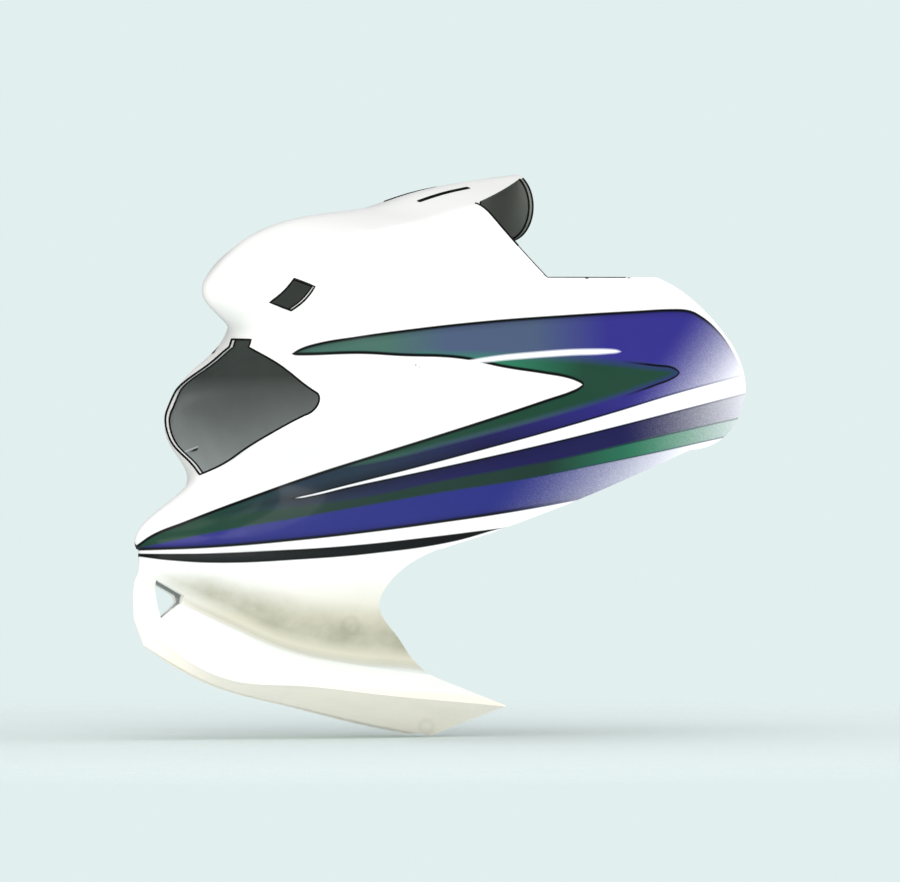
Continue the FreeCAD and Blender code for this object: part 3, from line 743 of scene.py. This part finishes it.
def openness(tree, spot, normal):
    """Share of the half space over a spot that no wall closes off."""
    turn = Vector((0, 0, 1)).rotation_difference(normal)
    start = spot + normal * LOOK_START
    free = sum(tree.ray_cast(start, turn @ way)[0] is None for way in DIRECTIONS)
    return free / LOOK_COUNT


def is_cut_strip(region):
    """True for a strip as narrow as the wall that was cut straight along or across the shell."""
    uses = {}
    for face in region:
        for edge in face.edges:
            uses[edge] = uses.get(edge, 0) + 1
    border = sum(edge.calc_length() for edge, count in uses.items() if count == 1)
    area = sum(face.calc_area() for face in region)
    narrow = 2 * area < CUT_EDGE_WIDTH * border
    return narrow and any(all(abs(face.normal[axis]) < SQUARE for face in region) for axis in (0, 1))


def side_of_wall(tree, region):
    """Whether a region is the outer skin, the inner skin or a cut edge."""
    if is_cut_strip(region):
        return CUT_EDGE
    step = max(1, len(region) // SAMPLED_FACES)
    votes = {PAINTED: 0.0, BARE: 0.0, CUT_EDGE: 0.0}
    for face in region[::step]:
        spot, area = face.calc_center_median(), face.calc_area()
        back, normal, _, depth = tree.ray_cast(spot - face.normal * LOOK_START, -face.normal)
        if back is None or depth > CUT_EDGE_DEPTH:
            votes[CUT_EDGE] += area
        elif openness(tree, spot, face.normal) >= openness(tree, back, normal):
            votes[PAINTED] += area
        else:
            votes[BARE] += area
    if votes[CUT_EDGE] > votes[PAINTED] + votes[BARE]:
        return CUT_EDGE
    return max((PAINTED, BARE), key=votes.get)


def on_tab(spot):
    return spot.x > TAB_X and spot.z > TAB_Z


def on_lug(region, posts):
    """True on the screw posts and the tail's tab, which stay bare."""
    if all(on_tab(vertex.co) for face in region for vertex in face.verts):
        return True
    spot = region[0].calc_center_median()
    return any(math.hypot(spot.y - y, spot.z - z) < POST_RADIUS + POST_MARGIN for y, z in posts)


def post_centres(record):
    dims = record["mounts"][0]["dims"]
    half_y, half_z = dims["spacing_x_mm"] / 2 * MM, dims["spacing_y_mm"] / 2 * MM
    return [(y, z) for y in (-half_y, half_y) for z in (-half_z, half_z)]


def sort_skins(shell, posts):
    """Give each region its material slot, and make edges sharp where slots meet or the skin folds."""
    tree = BVHTree.FromBMesh(shell)
    for region in skin_regions(shell):
        slot = BARE if on_lug(region, posts) else side_of_wall(tree, region)
        for face in region:
            face.material_index = slot
            face.smooth = True
    for edge in shell.edges:
        one_skin = len({face.material_index for face in edge.link_faces}) == 1
        edge.smooth = one_skin and edge.calc_face_angle(math.pi) < FOLD_ANGLE


def dark_line(edge):
    """Radius of an edge's dark line: heavy round lamp, stem holes, tail and tab, fine on the wings' tops."""
    slots = {face.material_index for face in edge.link_faces}
    spot = (edge.verts[0].co + edge.verts[1].co) / 2
    if slots == {BARE} and on_tab(spot) and edge.is_convex and edge.calc_face_angle(0.0) > TAB_FOLD:
        return HEAVY_LINE
    if len(slots) < 2 or CUT_EDGE not in slots:
        return NO_LINE
    if spot.x < LAMP_SIDE_X and spot.z > LAMP_SIDE_Z:
        return HEAVY_LINE
    if spot.z < UPPER_EDGE_Z or spot.x > UPPER_EDGE_X or PAINTED not in slots:
        return NO_LINE
    return HEAVY_LINE if spot.z > TAIL_EDGE_Z else FINE_LINE


def lined_edges(shell):
    """The shell's corners, and the pairs of them that each dark line joins, by its radius."""
    spots = [vertex.co.copy() for vertex in shell.verts]
    pairs = {HEAVY_LINE: [], FINE_LINE: [], NO_LINE: []}
    for edge in shell.edges:
        pairs[dark_line(edge)].append((edge.verts[0].index, edge.verts[1].index))
    return spots, pairs


def settle(piece):
    """Put a finished piece on the visor's body."""
    bpy.context.scene.collection.objects.link(piece)
    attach(piece, "root")


def bead_tree(material):
    """Geometry Nodes tree that lays a round bead along loose edges, and the name of its radius input."""
    tree = bpy.data.node_groups.new("bead along edges", "GeometryNodeTree")
    tree.interface.new_socket("Wires", in_out="INPUT", socket_type="NodeSocketGeometry")
    size = tree.interface.new_socket("Bead radius", in_out="INPUT", socket_type="NodeSocketFloat")
    tree.interface.new_socket("Bead", in_out="OUTPUT", socket_type="NodeSocketGeometry")
    nodes, links = tree.nodes, tree.links
    given, result = nodes.new("NodeGroupInput"), nodes.new("NodeGroupOutput")
    line = nodes.new("GeometryNodeMeshToCurve")
    ring = nodes.new("GeometryNodeCurvePrimitiveCircle")
    ring.inputs["Resolution"].default_value = BEAD_SIDES
    bead = nodes.new("GeometryNodeCurveToMesh")
    real = nodes.new("GeometryNodeRealizeInstances")
    paint = nodes.new("GeometryNodeSetMaterial")
    paint.inputs["Material"].default_value = material
    links.new(given.outputs["Wires"], line.inputs["Mesh"])
    links.new(given.outputs["Bead radius"], ring.inputs["Radius"])
    links.new(line.outputs["Curve"], bead.inputs["Curve"])
    links.new(ring.outputs["Curve"], bead.inputs["Profile Curve"])
    links.new(bead.outputs["Mesh"], real.inputs["Geometry"])
    links.new(real.outputs["Geometry"], paint.inputs["Geometry"])
    links.new(paint.outputs["Geometry"], result.inputs["Bead"])
    return tree, size.identifier


def rim_line(name, radius, spots, pairs, bead, radius_input):
    """Thin dark bead along chosen edges."""
    wires = bpy.data.meshes.new("rim wires")
    wires.from_pydata(spots, pairs, [])
    source = bpy.data.objects.new("rim wires", wires)
    modifier = source.modifiers.new("bead", "NODES")
    modifier.node_group = bead
    modifier[radius_input] = radius
    bpy.context.scene.collection.objects.link(source)
    made = bpy.data.meshes.new_from_object(source.evaluated_get(bpy.context.evaluated_depsgraph_get()))
    bpy.data.objects.remove(source)
    settle(bpy.data.objects.new(name, made))


def dress_shell(node, record):
    """Welded copy of the shell, painted outside and bare inside, with dark lines on its bare edges."""
    shell = welded_copy(node)
    sort_skins(shell, post_centres(record))
    spots, pairs = lined_edges(shell)
    mesh = bpy.data.meshes.new("visor")
    shell.to_mesh(mesh)
    shell.free()
    for material in (striped_paint(), cut_edge_paint(), bare_plastic()):
        mesh.materials.append(material)
    visor = bpy.data.objects.new("visor", mesh)
    settle(visor)
    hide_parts(node.name)
    bead, radius_input = bead_tree(bare_edge())
    rim_line("heavy_rim_line", HEAVY_LINE, spots, pairs[HEAVY_LINE], bead, radius_input)
    rim_line("fine_rim_line", FINE_LINE, spots, pairs[FINE_LINE], bead, radius_input)


def stage_floor(low):
    """Pale floor under the visor that fades out into the backdrop."""
    bpy.ops.mesh.primitive_circle_add(
        vertices=FLOOR_SIDES, radius=FLOOR_RADIUS, fill_type="NGON", location=(0, 0, low))
    floor = bpy.context.object
    floor.name = "floor"
    finish = Finish("pale floor")
    finish.colour(FLOOR_MINT)
    finish.gloss(roughness=0.9, shine=0.1)
    x, y, _ = finish.split(finish.place())
    finish.put(finish.shader.inputs["Alpha"], finish.falling(finish.reach(x, y), *FLOOR_FADE))
    floor.data.materials.append(finish.material)


def backdrop():
    """Mint backdrop for the camera and a soft pale studio for the light, dim where it is mirrored."""
    world = bpy.data.worlds.new("studio")
    world.use_nodes = True
    bpy.context.scene.world = world
    nodes, links = world.node_tree.nodes, world.node_tree.links
    place = nodes.new("ShaderNodeTexCoord")
    split = nodes.new("ShaderNodeSeparateXYZ")
    links.new(place.outputs["Generated"], split.inputs[0])
    height = nodes.new("ShaderNodeMapRange")
    height.inputs["From Min"].default_value = -1.0
    links.new(split.outputs["Z"], height.inputs["Value"])
    sky = nodes.new("ShaderNodeValToRGB")
    low, top = sky.color_ramp.elements
    low.color = SKY_LOW
    top.color = SKY_TOP
    top.position = SKY_TOP_PLACE
    links.new(height.outputs["Result"], sky.inputs[0])
    ray = nodes.new("ShaderNodeLightPath")
    under = sky.outputs["Color"]
    for kind, colour in (("Is Glossy Ray", MIRRORED_GREY), ("Is Camera Ray", STAGE_MINT)):
        shown = nodes.new("ShaderNodeMix")
        shown.data_type = "RGBA"
        shown.inputs[MIX_OVER].default_value = colour
        links.new(ray.outputs[kind], shown.inputs[MIX_SHARE])
        links.new(under, shown.inputs[MIX_UNDER])
        under = shown.outputs[MIX_RESULT]
    links.new(under, nodes["Background"].inputs["Color"])


def soft_light(name, place, size, power, target):
    """Round area light, out of the camera's sight, turned towards a target."""
    light = bpy.data.lights.new(name, "AREA")
    light.shape = "DISK"
    light.size = size
    light.energy = power
    lamp = bpy.data.objects.new(name, light)
    lamp.location = place
    lamp.visible_camera = False
    lamp.rotation_euler = (target - Vector(place)).to_track_quat("-Z", "Y").to_euler()
    bpy.context.scene.collection.objects.link(lamp)


def camera():
    """Long lens at the photograph's viewing angle."""
    level = math.cos(VIEW_ELEVATION)
    back = Vector((math.sin(VIEW_AZIMUTH) * level, -math.cos(VIEW_AZIMUTH) * level, math.sin(VIEW_ELEVATION)))
    data = bpy.data.cameras.new("camera")
    data.sensor_width = SENSOR_WIDTH
    data.lens = SENSOR_WIDTH * VIEW_DISTANCE / VIEW_WIDTH
    eye = bpy.data.objects.new("camera", data)
    eye.location = VIEW_TARGET + back * VIEW_DISTANCE
    eye.rotation_euler = (-back).to_track_quat("-Z", "Y").to_euler()
    bpy.context.scene.collection.objects.link(eye)
    bpy.context.scene.camera = eye


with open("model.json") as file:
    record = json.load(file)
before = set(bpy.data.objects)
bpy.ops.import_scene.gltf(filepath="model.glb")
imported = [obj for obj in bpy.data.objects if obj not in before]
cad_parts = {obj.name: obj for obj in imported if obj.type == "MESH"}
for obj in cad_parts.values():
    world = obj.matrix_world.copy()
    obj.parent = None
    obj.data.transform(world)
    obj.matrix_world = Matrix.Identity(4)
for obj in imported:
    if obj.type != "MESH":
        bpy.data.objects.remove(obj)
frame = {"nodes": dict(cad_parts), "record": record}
cad_low, cad_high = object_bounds()
dress_shell(frame["nodes"]["visor_shell"], frame["record"])
stage_floor(cad_low.z - FLOOR_GAP)
backdrop()
for name, place, size, power in LIGHTS:
    soft_light(name, place, size, power, (cad_low + cad_high) / 2)
camera()
bpy.context.scene.view_settings.view_transform = "Standard"
